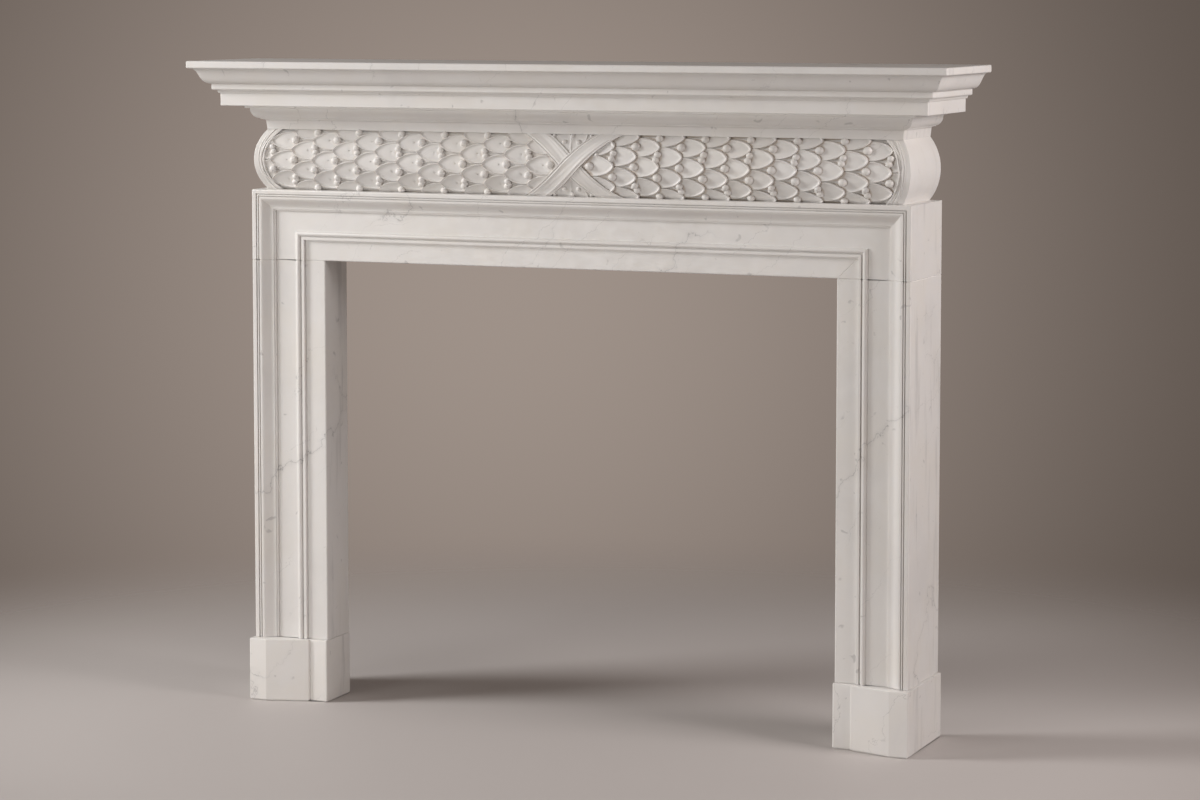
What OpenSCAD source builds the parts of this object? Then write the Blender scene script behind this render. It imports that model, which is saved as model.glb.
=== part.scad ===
// Carved stone fireplace mantel: two jambs on plinth blocks, a mitred architrave
// head, a swelling frieze carved with laurel leaves, a bed mould and a shelf.
// X runs across the opening, Y from the room (-) to the wall (+), Z up from the floor.
// The origin is under the middle of the whole mantel.

/* [Opening] */
// Clear width between the jambs
opening_w = 1060; // [700:10:1500]
// Clear height from the floor to the underside of the head
opening_h = 880; // [650:2:1200]

/* [Architrave] */
// Width of a jamb's face
jamb_w = 150; // [122:1:220]
// Height of the head's face
head_h = 139; // [100:1:220]
// Depth from the architrave's front to the wall
wall_depth = 190; // [150:1:300]
// Thickness of the moulded board round the opening
board_t = 116; // [60:1:140]
// Thickness of the return that runs back to the wall
return_t = 45; // [25:1:90]
// Flat band along the outer edge
band_w = 9; // [5:0.5:15]
// Fine bead beside the band
fine_bead_w = 3; // [2:0.5:5]
// Grooves beside the fine bead
quirk_w = 1.75; // [1:0.25:3]
// Width of the large ogee moulding
ogee_w = 25.5; // [15:0.5:35]
// Fall of the large ogee moulding
ogee_fall = 13; // [8:0.5:16]
// Small step inside the ogee
step_w = 3.5; // [2:0.5:6]
// Depth of the outer flat face
outer_face_d = 19.5; // [17:0.5:22]
// Width of the outer flat face
outer_face_w = 43.5; // [20:0.5:80]
// Width of the raised bead beside the inner flat face
bead_w = 10.5; // [6:0.5:12]
// Step between the bead and the inner flat face
bead_step_w = 6; // [3:0.5:8]
// Depth of the inner flat face
inner_face_d = 23; // [22.5:0.5:30]
// Softening of the exposed corners
arris = 2.5; // [1:0.5:4]

/* [Plinth blocks] */
// Height of a plinth block
plinth_h = 124; // [60:1:200]
// How far a block stands in front of its jamb
plinth_front = 15; // [5:1:25]
// How far a block stands out at the side
plinth_side = 6; // [1:0.5:12]
// How far a block stands into the opening
plinth_inner = 1.5; // [0:0.5:8]
// Width of the flat outer facet
facet_w = 37; // [20:1:50]
// Width of the slanted face
slant_w = 83; // [50:1:90]
// How far the slanted face falls back
slant_d = 25; // [10:1:30]
// Step at the end of the slanted face
slant_step = 5; // [3:1:15]

/* [Frieze] */
// Height of the frieze
frieze_h = 119; // [90:1:160]
// How far its top and bottom edges lie behind the architrave
neck_inset = 24; // [15:1:35]
// Swell of the rounded face beyond those edges
swell = 21; // [12:1:30]
// Depth of the carving
carve_d = 7; // [3:0.5:9]
// Length of a leaf from tip to tip
leaf_pitch = 91.5; // [60:0.5:130]
// Distance between rows of leaves, along the rounded face
leaf_row = 19.8; // [15:0.1:30]
// Radius of a berry
berry_r = 7.5; // [4:0.5:9]
// Distance from a leaf's tip to the next berry
berry_gap = 41; // [30:1:60]
// Width of the ribbed binding at each end
binding_w = 25; // [12:1:40]
// Width of the crossed ribbons at the centre
ribbon_w = 34; // [15:1:50]

/* [Bed mould] */
// Height of the bed mould
bed_h = 47; // [35:1:70]
// Projection of its top fillet beyond the architrave
bed_out = 9.5; // [6:0.5:25]

/* [Shelf] */
// Projection of the shelf beyond the architrave
shelf_out = 93; // [78:1:150]
// Height of the flat top edge
edge_h = 14.3; // [10:0.1:30]
// How far the edge oversails the ogee under it
edge_lip = 7.2; // [4:0.1:15]
// Height of the ogee under the edge
shelf_ogee_h = 30.2; // [20:0.1:50]
// Run of the ogee, from front to back
shelf_ogee_run = 28; // [15:1:35]
// Height of the fillet under the ogee
fillet_h = 12.5; // [8:0.1:20]
// Height of the cove above the drip face
cove_h = 5.5; // [4:0.1:12]
// Height of the drip face
drip_h = 25.2; // [15:0.1:40]
// How far the drip face stands back from the fillet above it
drip_back = 13.8; // [8:0.1:15]

/* [Hidden] */
marble = [0.88, 0.87, 0.85];
marble_cool = [0.84, 0.83, 0.82];
marble_warm = [0.90, 0.88, 0.85];
curve_steps = 10;      // straight pieces in one moulded curve
arris_steps = 4;       // straight pieces in one softened corner
over = 1;              // overrun of the cutting solids

half_w = opening_w / 2 + jamb_w;               // centre to the architrave's outer face
front_y = -(wall_depth + shelf_out) / 2 + shelf_out;   // architrave's front face
wall_y = front_y + wall_depth;                 // face against the wall
head_top = opening_h + head_h;
frieze_top = head_top + frieze_h;
bed_top = frieze_top + bed_h;
shelf_h = edge_h + shelf_ogee_h + fillet_h + cove_h + drip_h;
shelf_top = bed_top + shelf_h;

// A point at t on the cubic curve that leaves a for b and reaches d from c
function cubic(a, b, c, d, t) =
    pow(1 - t, 3) * a + 3 * pow(1 - t, 2) * t * b + 3 * (1 - t) * t * t * c + t * t * t * d;
function curve(a, b, c, d) = [for (i = [0:curve_steps]) cubic(a, b, c, d, i / curve_steps)];
// A softened corner: the quarter of a circle of radius r at corner p, from side 'from' to side 'to'
function soft(p, from, to, r) = [for (i = [0:arris_steps]) let (u = 90 * i / arris_steps)
    p + r * from * (1 - sin(u)) + r * to * (1 - cos(u))];

// ---- Architrave: points [distance from the outer edge, depth behind the front] ----
ogee_start = band_w + 2 * quirk_w + fine_bead_w;
step_start = ogee_start + ogee_w;
face_start = step_start + step_w;
bead_start = face_start + outer_face_w;
bead_end = bead_start + bead_w;
bead_rise = bead_w / 2;
fine_d = 0.6;          // level of the fine bead
quirk_d = 2.2;         // bottom of the small grooves
bead_groove = 2;       // width of the groove beside the raised bead
bead_step_start = bead_end + bead_groove;
bead_step_d = outer_face_d - 3;
inner_start = bead_step_start + bead_step_w;
step_d = ogee_fall + 2.2;

function half_round(x0, x1, d, rise) = [for (i = [0:2 * arris_steps])
    let (u = 180 * i / (2 * arris_steps))
    [(x0 + x1) / 2 - (x1 - x0) / 2 * cos(u), d - rise * sin(u)]];

moulding = concat(
    soft([0, 0], [0, 1], [1, 0], arris),
    [[band_w, 0], [band_w, quirk_d], [band_w + quirk_w, quirk_d]],
    half_round(band_w + quirk_w, band_w + quirk_w + fine_bead_w, fine_d + 0.6, 0.6),
    [[ogee_start - quirk_w, quirk_d], [ogee_start, quirk_d]],
    curve([ogee_start, 1], [ogee_start + ogee_w * 0.35, -0.8],
          [step_start - ogee_w * 0.45, ogee_fall], [step_start, ogee_fall]),
    [[step_start, step_d], [face_start, step_d], [face_start, outer_face_d],
     [bead_start, outer_face_d]],
    half_round(bead_start, bead_end, outer_face_d - 0.2, bead_rise),
    [[bead_end, outer_face_d], [bead_step_start, outer_face_d],
     [bead_step_start, bead_step_d], [inner_start, bead_step_d], [inner_start, inner_face_d]],
    soft([jamb_w, inner_face_d], [-1, 0], [0, 1], arris));

// Closed outline of the L-shaped architrave
function architrave() = concat(moulding,
    [[jamb_w, board_t], [return_t, board_t], [return_t, wall_depth], [0, wall_depth]]);

module upright(z0, z1) {
    translate([-half_w, front_y, z0]) linear_extrude(height = z1 - z0) polygon(architrave());
}
// The head is one outline carried up the left side, across and down the right side,
// turned at two mitres that run from the outer corners to the corners of the opening.
head_outline = architrave();
head_points = [for (side = [-1, 1]) [for (p = head_outline) [
    [side * (half_w - p[0]), front_y + p[1], opening_h],
    [side * (half_w - p[0]), front_y + p[1], head_top - p[0] * head_h / jamb_w]]]];
// Station 0 and 3 are the undersides, 1 and 2 the mitres; both meet at the opening's edge
function head_index(station, j) = let (
    n = len(head_outline),
    at_edge = head_outline[j % n][0] >= jamb_w,
    merged = station == 0 && at_edge ? 1 : station == 3 && at_edge ? 2 : station)
    merged * n + j % n;
function fresh(t) = t[0] != t[1] && t[1] != t[2] && t[2] != t[0];

module head() {
    n = len(head_outline);
    triangles = [for (i = [0:2], j = [0:n - 1]) each let (
        a = head_index(i, j), b = head_index(i, j + 1),
        c = head_index(i + 1, j + 1), d = head_index(i + 1, j))
        [[a, c, b], [a, d, c]]];
    color(marble) polyhedron(
        points = concat([for (q = head_points[0]) q[0]], [for (q = head_points[0]) q[1]],
                        [for (q = head_points[1]) q[1]], [for (q = head_points[1]) q[0]]),
        faces = concat([for (t = triangles) if (fresh(t)) t],
                       [[for (j = [0:n - 1]) head_index(0, j)],
                        [for (j = [n - 1:-1:0]) head_index(3, j)]]),
        convexity = 10);
}
module jamb_left() {
    color(marble_warm) upright(plinth_h, opening_h);
}
module jamb_right() {
    color(marble_warm) mirror([1, 0, 0]) upright(plinth_h, opening_h);
}

// ---- Plinth blocks ----
slant_start = facet_w - plinth_side;           // measured from the jamb's outer edge
slant_end = slant_start + slant_w;
plan = concat(
    soft([-plinth_side, -plinth_front], [0, 1], [1, 0], arris),
    [[slant_start, -plinth_front], [slant_end, slant_d - plinth_front],
     [slant_end + 0.5, slant_d + slant_step - plinth_front]],
    soft([jamb_w + plinth_inner, slant_d + slant_step - plinth_front], [-1, 0], [0, 1], arris),
    [[jamb_w + plinth_inner, board_t], [return_t, board_t], [return_t, wall_depth],
     [-plinth_side, wall_depth]]);

module plinth_block() {
    translate([-half_w, front_y, 0]) linear_extrude(height = plinth_h) polygon(plan);
}
module plinth_left() {
    color(marble_cool) plinth_block();
}
module plinth_right() {
    color(marble_cool) mirror([1, 0, 0]) plinth_block();
}

// ---- Cornice: points [projection beyond the architrave, height] from top to bottom ----
// The same outline runs along the front and both sides, so it is two crossed prisms.
module cornice(points) {
    last = len(points) - 1;
    intersection() {
        translate([half_w + shelf_out, 0, 0]) rotate([90, 0, -90])
            linear_extrude(height = 2 * (half_w + shelf_out))
                polygon(concat([for (p = points) [-(front_y - p[0]), p[1]]],
                               [[-wall_y, points[last][1]], [-wall_y, points[0][1]]]));
        translate([0, wall_y + over, 0]) rotate([90, 0, 0])
            linear_extrude(height = wall_depth + shelf_out + 2 * over)
                polygon(concat([for (p = points) [half_w + p[0], p[1]]],
                               [for (i = [last:-1:0]) [-half_w - points[i][0], points[i][1]]]));
    }
}

edge_low = shelf_top - edge_h;
fillet_top = edge_low - shelf_ogee_h;
fillet_low = fillet_top - fillet_h;
drip_top = fillet_low - cove_h;
ogee_out = shelf_out - edge_lip;               // where the ogee leaves the edge's underside
fillet_out = ogee_out - shelf_ogee_run;
drip_out = fillet_out - drip_back;
shelf_outline = concat(
    soft([shelf_out, shelf_top], [-1, 0], [0, -1], arris),
    soft([shelf_out, edge_low], [0, 1], [-1, 0], arris),
    curve([ogee_out, edge_low], [ogee_out - shelf_ogee_run * 0.40, edge_low - shelf_ogee_h * 0.12],
          [ogee_out - shelf_ogee_run * 0.39, fillet_top + 0.5], [fillet_out, fillet_top]),
    soft([fillet_out - 1, fillet_low], [0, 1], [-1, 0], min(4.5, drip_back - 6.5)),
    curve([drip_out + 5, fillet_low], [drip_out + 4.6, fillet_low - 2],
          [drip_out + 4, drip_top + 2], [drip_out + 3, drip_top]),
    [[drip_out, drip_top]],
    soft([drip_out, bed_top], [0, 1], [-1, 0], arris / 2));

module shelf() {
    color(marble_warm) cornice(shelf_outline);
}

bed_fillet_h = 5.5;                            // height of the bed mould's top fillet
bed_step = 7.6;                                // its step in to the round below
round_low = bed_top - bed_h * 0.56;            // underside of the round
round_out = bed_out - bed_step;
round_run = 15;                                // how far the round falls back
hollow_out = round_out - round_run;            // start of the hollow above the lower band
bed_outline = concat(
    [[bed_out, bed_top]],
    soft([bed_out, bed_top - bed_fillet_h], [0, 1], [-1, 0], arris / 2),
    [[round_out, bed_top - bed_fillet_h]],
    curve([round_out, bed_top - bed_fillet_h - 1.5], [round_out - 1, round_low + 8],
          [round_out - round_run / 2, round_low + 1], [hollow_out, round_low]),
    curve([hollow_out, round_low - 1], [hollow_out - 5, round_low - 1.6],
          [hollow_out - 8, round_low - 2.2], [hollow_out - 8.6, round_low - 5]),
    [[-neck_inset + 0.5, frieze_top]]);

module bed_mould() {
    color(marble) cornice(bed_outline);
}

// ---- Frieze: a swelling block, carved along the front ----
swell_r = (pow(frieze_h / 2, 2) + swell * swell) / (2 * swell);   // radius of the rounded face
swell_angle = asin(frieze_h / 2 / swell_r);
arc_half = swell_r * swell_angle * PI / 180;   // half the length round the face
row_cells = 4;                                 // mesh cells to one row of leaves
leaf_cells = 8;                                // mesh cells to one leaf
arc_steps = let (n = floor(arc_half / leaf_row * row_cells)) concat(
    [-arc_half], [for (i = [-n:n]) if (abs(i) * leaf_row / row_cells < arc_half - 1)
    i * leaf_row / row_cells], [arc_half]);
neck_half = half_w - neck_inset;               // half length at the top and bottom edges
leaf_limit = neck_half - binding_w - 5;        // where the plain grid of leaves ends
last_tip = neck_half + swell - binding_w - 12; // tip of the outermost middle leaf
first_tip = last_tip - floor(last_tip / leaf_pitch) * leaf_pitch;
leaf_taper = 40 / 91.5 * leaf_pitch;           // length over which a leaf widens
tip_level = 0.88 * carve_d;                    // height of a leaf's tip over the ground

// Half width of a leaf at distance a behind its tip
function leaf_half(a) = a <= 0 ? 0 : a >= leaf_taper ? leaf_row
    : leaf_row * sqrt(1 - pow((leaf_taper - a) / leaf_taper, 2));
function wrap(v) = v - floor(v / leaf_pitch) * leaf_pitch;
function row_shift(k) = k % 2 == 0 ? 0 : leaf_pitch / 2;
// Distance behind the tip of the uppermost leaf of row k that covers (s, t)
function behind_tip(s, t, k) = let (
    a = wrap(first_tip + row_shift(k) - s), b = abs(t - k * leaf_row))
    b > leaf_row ? 10 * leaf_pitch : b <= leaf_half(a) ? a : a + leaf_pitch;
function leaf_level(s, t) = let (
    k = floor(t / leaf_row), a = min(behind_tip(s, t, k), behind_tip(s, t, k + 1)))
    max(0.4, tip_level * (1 - 0.8 * a / leaf_pitch));
// Rise of the nearest berry of row k
function berry_level(s, t, k) = let (
    d = wrap(s - first_tip - row_shift(k)) - berry_gap, b = t - k * leaf_row,
    q = berry_r * berry_r - d * d - b * b)
    q > 0 ? 0.35 * carve_d + 0.75 * sqrt(q) : 0;
// Centre line of the ribbon that rises to the right, and its level at distance x from it
function ribbon_x(t) = t * (1 + 0.17 * pow(t / arc_half, 2));
ribbon_half = ribbon_w * 0.72;                 // half its width, measured level
function ribbon_level(x, top) = abs(x) > ribbon_half ? 0
    : top - 0.2 * carve_d * (1 - pow(x / ribbon_half, 2));
function carving(x, t) = let (
    s = abs(x), k = round(t / leaf_row), gap = abs(ribbon_x(t)) - ribbon_half,
    over_ribbon = ribbon_level(x - ribbon_x(t), carve_d),
    under_ribbon = ribbon_level(x + ribbon_x(t), 0.8 * carve_d),
    leaves = s < gap ? 0.3 * carve_d : max(leaf_level(s, t), berry_level(s, t, k)))
    over_ribbon > 0 ? over_ribbon : under_ribbon > 0 ? under_ribbon : min(leaves, carve_d + 1);

// Places along the front at the arc step t: [x, level of the carving]
function face_row(t) = let (
    bulge = swell_r * cos(t / swell_r * 180 / PI) - swell_r * cos(swell_angle),
    corner = neck_half + bulge,
    inner = corner - binding_w,
    cells = ceil(leaf_limit / leaf_pitch * leaf_cells),
    half = concat(
        [for (i = [1:cells]) let (x = leaf_limit * i / cells) [x, 0]],
        [for (i = [1:3]) [leaf_limit + (inner - 2 - leaf_limit) * i / 3, 0]],
        [for (f = [1, 0.72, 0.48, 0.24, 0]) [corner - binding_w * f,
            f == 1 || f == 0.48 || f == 0 ? carve_d : 0.7 * carve_d]]),
    n = len(half) - 1)
    concat([for (i = [n:-1:0]) [-half[i][0], half[i][1] > 0 ? half[i][1] : carving(-half[i][0], t)]],
           [[0, carving(0, t)]],
           [for (i = [0:n]) [half[i][0], half[i][1] > 0 ? half[i][1] : carving(half[i][0], t)]]);

// One level slice: the carved front from left to right, then the two back corners
function slice(t) = let (
    u = t / swell_r * 180 / PI,
    z = head_top + frieze_h / 2 + swell_r * sin(u),
    bulge = swell_r * cos(u) - swell_r * cos(swell_angle),
    face_y = front_y + neck_inset - bulge,
    row = face_row(t))
    concat([for (p = row) [p[0], face_y + carve_d - p[1], z]],
           [[neck_half + bulge, wall_y, z], [-neck_half - bulge, wall_y, z]]);

module frieze() {
    slices = [for (t = arc_steps) slice(t)];
    n = len(slices[0]);
    m = len(slices);
    color(marble_cool) polyhedron(
        points = [for (ring = slices) each ring],
        faces = concat(
            [[for (j = [0:n - 1]) j]],
            [for (i = [0:m - 2], j = [0:n - 1]) each let (
                a = i * n + j, b = i * n + (j + 1) % n, c = b + n, d = a + n)
                [[a, d, c], [a, c, b]]],
            [[for (j = [n - 1:-1:0]) (m - 1) * n + j]]),
        convexity = 10);
}

shelf();
bed_mould();
frieze();
head();
jamb_left();
jamb_right();
plinth_left();
plinth_right();
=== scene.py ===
import math

import bpy
import numpy as np
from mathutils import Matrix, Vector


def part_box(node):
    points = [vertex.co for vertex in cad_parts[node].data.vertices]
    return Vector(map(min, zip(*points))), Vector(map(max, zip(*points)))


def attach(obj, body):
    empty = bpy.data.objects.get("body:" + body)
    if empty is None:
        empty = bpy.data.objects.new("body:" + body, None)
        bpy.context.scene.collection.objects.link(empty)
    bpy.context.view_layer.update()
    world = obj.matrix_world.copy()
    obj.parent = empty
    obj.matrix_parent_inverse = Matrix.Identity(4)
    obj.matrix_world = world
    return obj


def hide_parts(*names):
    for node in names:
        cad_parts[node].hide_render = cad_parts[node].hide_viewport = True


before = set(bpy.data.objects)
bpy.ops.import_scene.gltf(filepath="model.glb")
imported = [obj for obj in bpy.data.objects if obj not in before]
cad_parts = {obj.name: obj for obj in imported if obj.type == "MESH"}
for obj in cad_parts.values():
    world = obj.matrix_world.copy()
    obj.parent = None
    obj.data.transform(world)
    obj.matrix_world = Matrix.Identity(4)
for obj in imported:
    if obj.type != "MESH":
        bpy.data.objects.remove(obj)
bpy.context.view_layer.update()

mm = 0.001   # shapes are worked out in millimetres


# Lowest and highest corner of a node's box, in millimetres
def boxOf(node):
    return [np.array(corner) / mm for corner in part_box(node)]


headLow, headHigh = boxOf("head")
halfWidth = headHigh[0]            # from the middle to the architrave's outer face
frontY, wallY = headLow[1], headHigh[1]
openingTop, headTop = headLow[2], headHigh[2]
plinthTop = boxOf("plinth_left")[1][2]
friezeTop = boxOf("frieze")[1][2]
bedTop = boxOf("bed_mould")[1][2]
shelfTop = boxOf("shelf")[1][2]


# Point at q between 0 and 1 on the cubic curve a, b, c, d
def cubic(a, b, c, d, count=14):
    q = np.linspace(0, 1, count)[:, None]
    a, b, c, d = (np.array(p, float) for p in (a, b, c, d))
    xy = (1 - q) ** 3 * a + 3 * (1 - q) ** 2 * q * b + 3 * (1 - q) * q ** 2 * c + q ** 3 * d
    return np.column_stack([xy, np.zeros(count)])


# Half circle squashed to a height: x = middle - r cos u, depth = level - rise sin u
def halfRound(start, end, level, rise, count=11):
    u = np.linspace(0, math.pi, count)
    x = (start + end) / 2 - (end - start) / 2 * np.cos(u)
    return np.column_stack([x, level - rise * np.sin(u), np.zeros(count)])


# Closed outline from corners [a, b, radius]: each rounded corner is an arc that
# touches both sides, with one more point just outside each end of the arc
def rounded(corners, steps=5, guard=0.35):
    corners = np.array(corners, float)
    p, radius = corners[:, :2], corners[:, 2]
    back, ahead = np.roll(p, 1, 0) - p, np.roll(p, -1, 0) - p
    lengths = [np.linalg.norm(side, axis=1) + 1e-9 for side in (back, ahead)]
    d1, d2 = back / lengths[0][:, None], ahead / lengths[1][:, None]
    half = np.arccos(np.clip((d1 * d2).sum(1), -1, 1)) / 2       # half the angle at the corner
    reach = np.minimum(radius / np.tan(np.maximum(half, 0.05)), 0.45 * np.minimum(*lengths))
    r = reach * np.tan(half)
    middle = d1 + d2
    middle /= np.linalg.norm(middle, axis=1)[:, None] + 1e-9
    centre = p + middle * np.hypot(reach, r)[:, None]
    w1, w2 = p + d1 * reach[:, None] - centre, p + d2 * reach[:, None] - centre
    turn = np.maximum(math.pi - 2 * half, 1e-6)[:, None]
    q = np.linspace(0, 1, steps)[None, :]
    arc = centre[:, None] + (np.sin((1 - q) * turn)[..., None] * w1[:, None]
                             + np.sin(q * turn)[..., None] * w2[:, None]) / np.sin(turn)[..., None]
    first = p + d1 * (reach + np.minimum(guard, 0.2 * reach))[:, None]
    last = p + d2 * (reach + np.minimum(guard, 0.2 * reach))[:, None]
    rows = np.concatenate([first[:, None], arc, last[:, None]], 1)
    rows[radius == 0] = p[radius == 0][:, None]
    keep = np.ones(rows.shape[:2], bool)
    keep[radius == 0, 1:] = False
    return rows[keep]


# Outline moved inwards by a distance along the mitre of its two sides
def inset(outline, distance):
    d1 = outline - np.roll(outline, 1, 0)
    d2 = np.roll(outline, -1, 0) - outline
    n1, n2 = (np.column_stack([-d[:, 1], d[:, 0]]) / np.linalg.norm(d, axis=1)[:, None]
              for d in (d1, d2))
    x, y = outline.T
    area = (x * np.roll(y, -1) - np.roll(x, -1) * y).sum()
    step = (n1 + n2) / np.maximum(1 + (n1 * n2).sum(1), 0.35)[:, None]
    return outline + math.copysign(distance, area) * step


# Piece from points in millimetres, smooth but for edges sharper than an angle in degrees;
# leafPlace, one vector to a point, is read by the material for the painted shade of the carving
def finishMesh(name, points, faces, node, material, sharp=32, leafPlace=None):
    mesh = bpy.data.meshes.new(name)
    mesh.from_pydata((np.asarray(points, float).reshape(-1, 3) * mm).tolist(), [], faces)
    if leafPlace is not None:
        places = mesh.attributes.new("leafPlace", "FLOAT_VECTOR", "POINT")
        places.data.foreach_set("vector", leafPlace.ravel())
    mesh.validate()
    mesh.shade_smooth()
    mesh.set_sharp_from_angle(angle=math.radians(sharp))
    mesh.materials.append(material)
    piece = bpy.data.objects.new(name, mesh)
    bpy.context.scene.collection.objects.link(piece)
    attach(piece, "root")
    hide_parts(node)
    return piece


# Volume enclosed by faces: the sum of the tetrahedra from the origin, each face cut in a fan
def volume(points, faces):
    total = 0
    for size in {len(face) for face in faces}:
        ring = points[np.array([face for face in faces if len(face) == size])]
        for k in range(1, size - 1):
            total += np.einsum("ij,ij->", ring[:, 0], np.cross(ring[:, k], ring[:, k + 1])) / 6
    return total


# Closed skin over stacked rings: point j of ring i joins point j of ring i + 1, both ends capped
def stackRings(rings):
    m, n = rings.shape[:2]
    i, j = np.meshgrid(np.arange(m - 1), np.arange(n), indexing="ij")
    a, b = i * n + j, i * n + (j + 1) % n
    faces = np.stack([a, b, b + n, a + n], -1).reshape(-1, 4).tolist()
    faces += [list(range(n))[::-1], list(range((m - 1) * n, m * n))]
    points = rings.reshape(-1, 3)
    if volume(points, faces) < 0:
        faces = [face[::-1] for face in faces]
    return points, faces


# Piece that replaces the node of its own name, from stacked rings
def ringPiece(name, rings, material):
    return finishMesh(name, *stackRings(rings), name, material)


# Many closed shells of one layout: tops is [shell, row, column, xyz], feet [shell, row, 2, xyz].
# A shell is its top grid, two side walls down to its feet, a floor between the feet and two ends
def shells(tops, feet):
    count, m, n = tops.shape[:3]
    size = m * n + 2 * m
    i, j = np.meshgrid(np.arange(m - 1), np.arange(n - 1), indexing="ij")
    a = i * n + j
    quads = [np.stack([a, a + 1, a + n + 1, a + n], -1).reshape(-1, 4)]
    i = np.arange(m - 1)
    left, right = m * n + 2 * i, m * n + 2 * i + 1
    quads.append(np.stack([i * n, i * n + n, left + 2, left], -1))
    quads.append(np.stack([i * n + n - 1, right, right + 2, i * n + 2 * n - 1], -1))
    quads.append(np.stack([left, left + 2, right + 2, right], -1))
    quads = np.concatenate(quads)
    start = np.array([*range(n - 1, -1, -1), m * n, m * n + 1])
    end = np.array([*range((m - 1) * n, m * n), size - 1, size - 2])
    points = np.concatenate([tops.reshape(count, -1, 3), feet.reshape(count, -1, 3)], 1)
    if volume(points[0], quads.tolist() + [start.tolist(), end.tolist()]) < 0:
        quads, start, end = quads[:, ::-1], start[::-1], end[::-1]
    shift = (np.arange(count) * size)[:, None, None]
    faces = (quads[None] + shift).reshape(-1, 4).tolist()
    faces += (np.stack([start, end])[None] + shift).reshape(-1, n + 2).tolist()
    return points.reshape(-1, 3), faces


# Several point and face lists as one
def joined(parts):
    points, faces, count = [], [], 0
    for partPoints, partFaces in parts:
        points.append(partPoints)
        faces += [[k + count for k in face] for face in partFaces]
        count += len(partPoints)
    return np.concatenate(points), faces


camera = {
    "place": (2.5155, -5.9008, 1.4089),
    "turn": 0.39643,       # radians to the left of straight ahead
    "tilt": 0.08571,       # radians down
    "lens": 100.9,
    "shift": -0.1,
}
stage = {
    "floorColour": (0.60, 0.565, 0.55),
    "floorFade": (0.9, 2.3),           # metres from the middle where it starts and ends fading
    "floorSides": 96,
    "backCentre": (0.345, 0.286, 0.25),
    "backEdge": (0.105, 0.083, 0.070),
    "backLean": 0.03,                  # radians by which the bright part lies left of the middle
    "backSpread": 15,                  # degrees from the middle of the view to the edge colour
}
lights = {
    # name: place, aim, size, watts, colour
    "key": ((-3.1, -1.4, 2.3), (0.0, 0.0, 0.9), 1.3, 94, (1.0, 0.985, 0.97)),
    "front": ((-1.6, -3.9, 0.6), (0.0, 0.0, 1.1), 1.6, 50, (1.0, 0.972, 0.935)),
    "fill": ((2.6, -0.3, 1.6), (0.7, 0.0, 1.0), 1.2, 36, (1.0, 0.94, 0.92)),
}

scene = bpy.context.scene
scene.view_settings.view_transform = "Standard"
cam = bpy.data.objects.new("camera", bpy.data.cameras.new("camera"))
cam.location = camera["place"]
cam.rotation_euler = (math.pi / 2 - camera["tilt"], 0, camera["turn"])
cam.data.lens = camera["lens"]
cam.data.shift_y = camera["shift"]
scene.collection.objects.link(cam)
scene.camera = cam

for name, (place, aim, size, watts, colour) in lights.items():
    lamp = bpy.data.objects.new(name, bpy.data.lights.new(name, "AREA"))
    lamp.data.shape = "DISK"
    lamp.data.size = size
    lamp.data.energy = watts
    lamp.data.color = colour
    lamp.location = place
    away = np.array(place) - np.array(aim)
    lamp.rotation_euler = (math.acos(away[2] / np.linalg.norm(away)), 0,
                           math.atan2(away[0], -away[1]))
    scene.collection.objects.link(lamp)


# Short calls for building a node tree; an input is a value or another node's socket
class Nodes:
    def __init__(self, tree):
        self.tree = tree
        tree.nodes.clear()

    # Node of a kind, its properties set, then its inputs set or linked
    def add(self, kind, inputs=None, **settings):
        node = self.tree.nodes.new(kind)
        for key, value in settings.items():
            setattr(node, key, value)
        for key, value in (inputs or {}).items():
            if isinstance(value, bpy.types.NodeSocket):
                self.tree.links.new(value, node.inputs[key])
            else:
                node.inputs[key].default_value = value
        return node

    def math(self, operation, *values):
        return self.add("ShaderNodeMath", dict(enumerate(values)), operation=operation).outputs[0]

    # A vector, or a number where the operation gives one
    def vector(self, operation, *values):
        node = self.add("ShaderNodeVectorMath", dict(enumerate(values)), operation=operation)
        isNumber = operation in ("LENGTH", "DISTANCE", "DOT_PRODUCT")
        return node.outputs["Value" if isNumber else "Vector"]

    # lowValue below low, highValue above high, smooth between
    def ramp(self, value, low, high, lowValue=0.0, highValue=1.0):
        return self.add("ShaderNodeMapRange", {
            "Value": value, "From Min": low, "From Max": high,
            "To Min": lowValue, "To Max": highValue}, interpolation_type="SMOOTHSTEP").outputs[0]

    def noise(self, vector, scale, detail=4.0, rough=0.5, twist=0.0):
        return self.add("ShaderNodeTexNoise", {
            "Vector": vector, "Scale": scale, "Detail": detail, "Roughness": rough,
            "Distortion": twist}).outputs["Fac"]

    # Colour a where the factor is 0, b where it is 1
    def mix(self, factor, a, b):
        node = self.add("ShaderNodeMix", data_type="RGBA")
        for slot, value in ((0, factor), (6, a), (7, b)):
            if isinstance(value, bpy.types.NodeSocket):
                self.tree.links.new(value, node.inputs[slot])
            else:
                node.inputs[slot].default_value = value if slot == 0 else (*value, 1)
        return node.outputs[2]


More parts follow.
